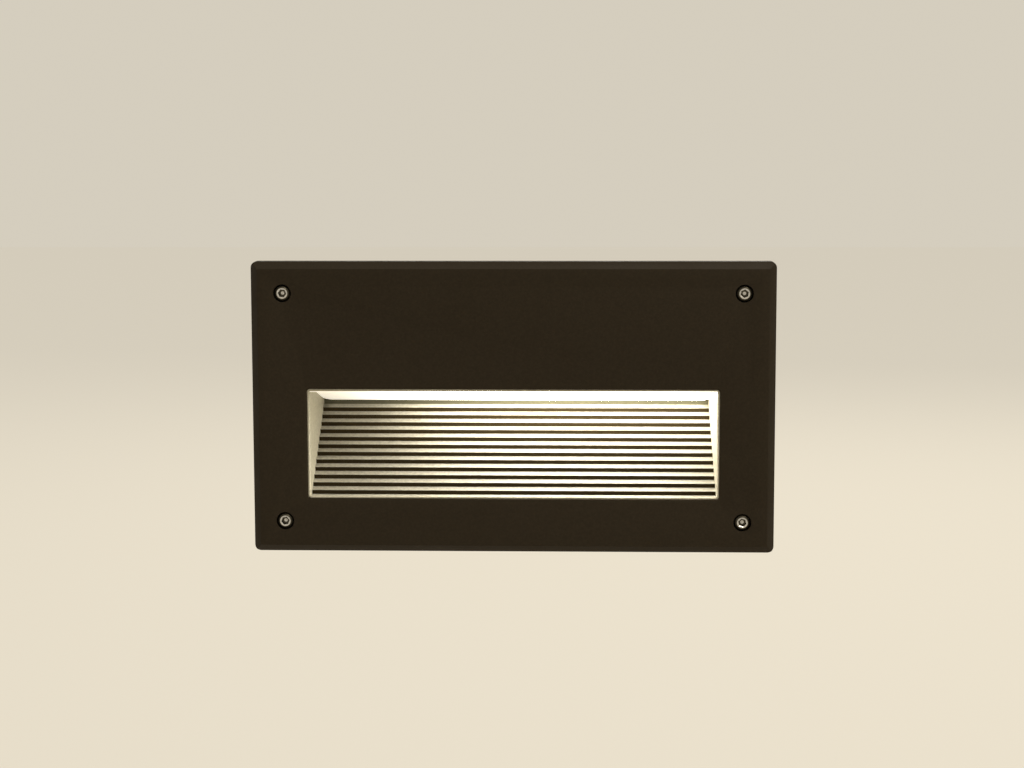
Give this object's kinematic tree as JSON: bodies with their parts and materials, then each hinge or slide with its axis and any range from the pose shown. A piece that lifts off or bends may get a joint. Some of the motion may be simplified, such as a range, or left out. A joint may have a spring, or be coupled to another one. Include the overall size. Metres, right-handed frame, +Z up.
{
  "type": "recessed step light",
  "caption": "Recessed wall step light: bevelled rectangular faceplate with a stepped light scoop under a frosted lens, bolted to a cast box with its lamp gear.",
  "frame": {"origin": "centre of the faceplate's back plane, which lies on the wall surface", "axes": "+X to the right seen from the front, +Y into the wall, +Z up"},
  "size_m": [0.234, 0.1145, 0.131],
  "materials": {
    "bronze_coat": "dark bronze powder coat with a fine texture",
    "cast_silver": "cast aluminium, fine sand grain",
    "stainless": "stainless steel, turned",
    "zinc_screw": "zinc plated",
    "seal_rubber": "black rubber",
    "frosted_glass": "frosted glass, lit from behind",
    "spring_steel": "bright spring steel",
    "box_cast": "die-cast box, grey primer",
    "tray_steel": "galvanised sheet steel",
    "mirror_sheet": "bright anodised sheet",
    "white_moulding": "white heat resistant moulding",
    "lamp_glass": "white phosphor coated glass, lit",
    "brass": "bright brass",
    "core_steel": "varnished steel laminations",
    "coil_resin": "brown potted winding",
    "terminal_plastic": "translucent white nylon",
    "black_plastic": "black nylon",
    "live_jacket": "brown insulation",
    "neutral_jacket": "blue insulation",
    "lamp_jacket": "white insulation",
    "earth_jacket": "green and yellow insulation"
  },
  "bodies": {
    "box": {"back_box": "box_cast", "gear_tray": "tray_steel", "tray_screws": "zinc_screw", "lamp_reflector": "mirror_sheet", "reflector_screws": "zinc_screw", "lampholder": "white_moulding", "lampholder_contacts": "brass", "lampholder_screws": "zinc_screw", "lamp_cradle": "white_moulding", "cradle_screw": "zinc_screw", "ballast_core": "core_steel", "ballast_coil": "coil_resin", "ballast_bracket": "tray_steel", "ballast_terminals": "white_moulding", "ballast_screws": "zinc_screw", "terminal_block": "terminal_plastic", "terminal_screws": "zinc_screw", "terminal_block_screws": "zinc_screw", "earth_stud": "brass", "earth_lug": "brass", "earth_nut": "brass", "wire_grommet": "seal_rubber", "live_wire": "live_jacket", "neutral_wire": "neutral_jacket", "lamp_wire": "lamp_jacket", "earth_wire": "earth_jacket", "gland_body": "black_plastic", "gland_oring": "seal_rubber", "gland_locknut": "black_plastic", "gland_insert": "seal_rubber", "gland_nut": "black_plastic", "blanking_plug": "black_plastic", "plug_oring": "seal_rubber"},
    "face": {"faceplate": "bronze_coat", "face_gasket": "seal_rubber", "scoop": "cast_silver", "scoop_gasket": "seal_rubber", "scoop_screws": "zinc_screw", "lens": "frosted_glass", "lens_gasket": "seal_rubber", "lens_clips": "spring_steel", "lens_clip_screws": "zinc_screw"},
    "lamp": {"lamp_tube": "lamp_glass", "lamp_base": "white_moulding", "lamp_pins": "brass"},
    "seal_1": {"screw_seal_1": "seal_rubber"},
    "bolt_1": {"face_screw_1": "stainless"},
    "seal_2": {"screw_seal_2": "seal_rubber"},
    "bolt_2": {"face_screw_2": "stainless"},
    "seal_3": {"screw_seal_3": "seal_rubber"},
    "bolt_3": {"face_screw_3": "stainless"},
    "seal_4": {"screw_seal_4": "seal_rubber"},
    "bolt_4": {"face_screw_4": "stainless"}
  },
  "joints": [
    {"name": "face_pull", "type": "slide", "parent": "box", "child": "face", "axis": [0, -1, 0], "range_m": [0, 0.09]},
    {"name": "lamp_unplug", "type": "slide", "parent": "box", "child": "lamp", "axis": [1, 0, 0], "range_m": [0, 0.024]},
    {"name": "bolt_1_lift", "type": "slide", "parent": "face", "child": "seal_1", "axis": [0, -1, 0], "range_m": [0, 0.008]},
    {"name": "bolt_1_turn", "type": "hinge", "parent": "seal_1", "child": "bolt_1", "pos_m": [-0.1027, -0.005, 0.0514], "axis": [0, -1, 0], "range_deg": [0, 4320]},
    {"name": "bolt_2_lift", "type": "slide", "parent": "face", "child": "seal_2", "axis": [0, -1, 0], "range_m": [0, 0.008]},
    {"name": "bolt_2_turn", "type": "hinge", "parent": "seal_2", "child": "bolt_2", "pos_m": [0.1027, -0.005, 0.0514], "axis": [0, -1, 0], "range_deg": [0, 4320]},
    {"name": "bolt_3_lift", "type": "slide", "parent": "face", "child": "seal_3", "axis": [0, -1, 0], "range_m": [0, 0.008]},
    {"name": "bolt_3_turn", "type": "hinge", "parent": "seal_3", "child": "bolt_3", "pos_m": [0.1027, -0.005, -0.0514], "axis": [0, -1, 0], "range_deg": [0, 4320]},
    {"name": "bolt_4_lift", "type": "slide", "parent": "face", "child": "seal_4", "axis": [0, -1, 0], "range_m": [0, 0.008]},
    {"name": "bolt_4_turn", "type": "hinge", "parent": "seal_4", "child": "bolt_4", "pos_m": [-0.1027, -0.005, -0.0514], "axis": [0, -1, 0], "range_deg": [0, 4320]}
  ],
  "couplings": [
    {"joint": "bolt_1_turn", "follows": "bolt_1_lift", "rad_per_m": 8976},
    {"joint": "bolt_2_turn", "follows": "bolt_2_lift", "rad_per_m": 8976},
    {"joint": "bolt_3_turn", "follows": "bolt_3_lift", "rad_per_m": 8976},
    {"joint": "bolt_4_turn", "follows": "bolt_4_lift", "rad_per_m": 8976}
  ]
}
